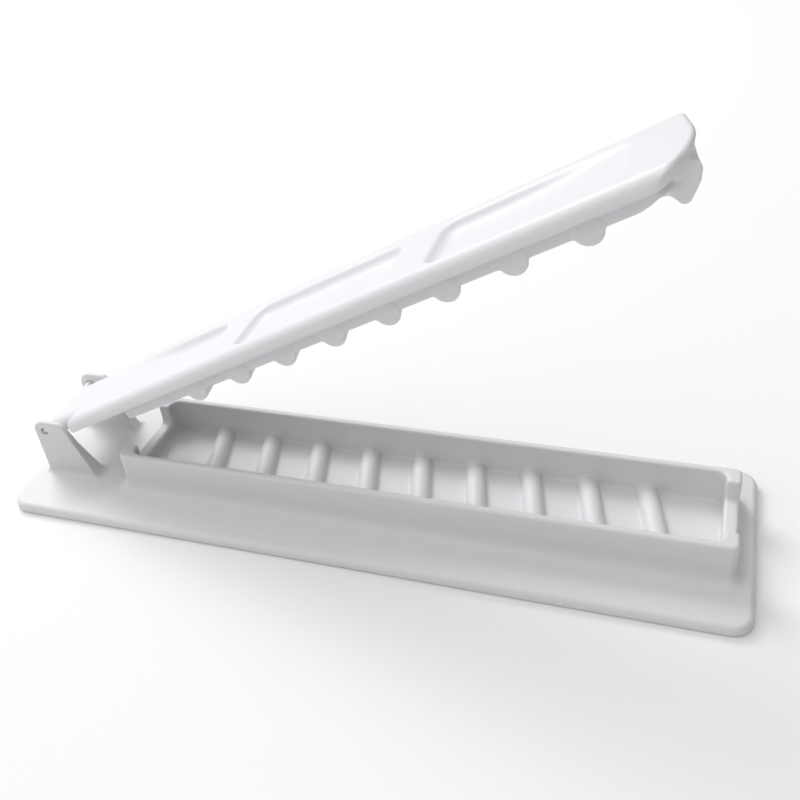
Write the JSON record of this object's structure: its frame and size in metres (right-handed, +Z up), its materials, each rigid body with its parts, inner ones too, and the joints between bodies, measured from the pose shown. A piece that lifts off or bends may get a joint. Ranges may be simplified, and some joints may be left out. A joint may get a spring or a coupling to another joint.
{
  "type": "hinged strip press",
  "caption": "Long hinged press: a ribbed tray on a flat base plate, with a toothed lid that drops into the tray between the ribs.",
  "frame": {"origin": "bottom centre of the base plate", "axes": "+X along the tray, from the hinge to the free end; +Y across the tray; +Z up, out of the tray"},
  "size_m": [0.212, 0.059, 0.1128],
  "materials": {
    "base_plastic": "white moulded polypropylene, satin, slightly translucent",
    "lid_plastic": "white moulded polypropylene, satin, slightly translucent"
  },
  "bodies": {
    "base": {"base_moulding": "base_plastic"},
    "lid": {"lid_moulding": "lid_plastic"}
  },
  "joints": [
    {"name": "lid_hinge", "type": "hinge", "parent": "base", "child": "lid", "pos_m": [-0.0983, 0, 0.0188], "axis": [0, -1, 0], "range_deg": [-27.4, 150]}
  ]
}
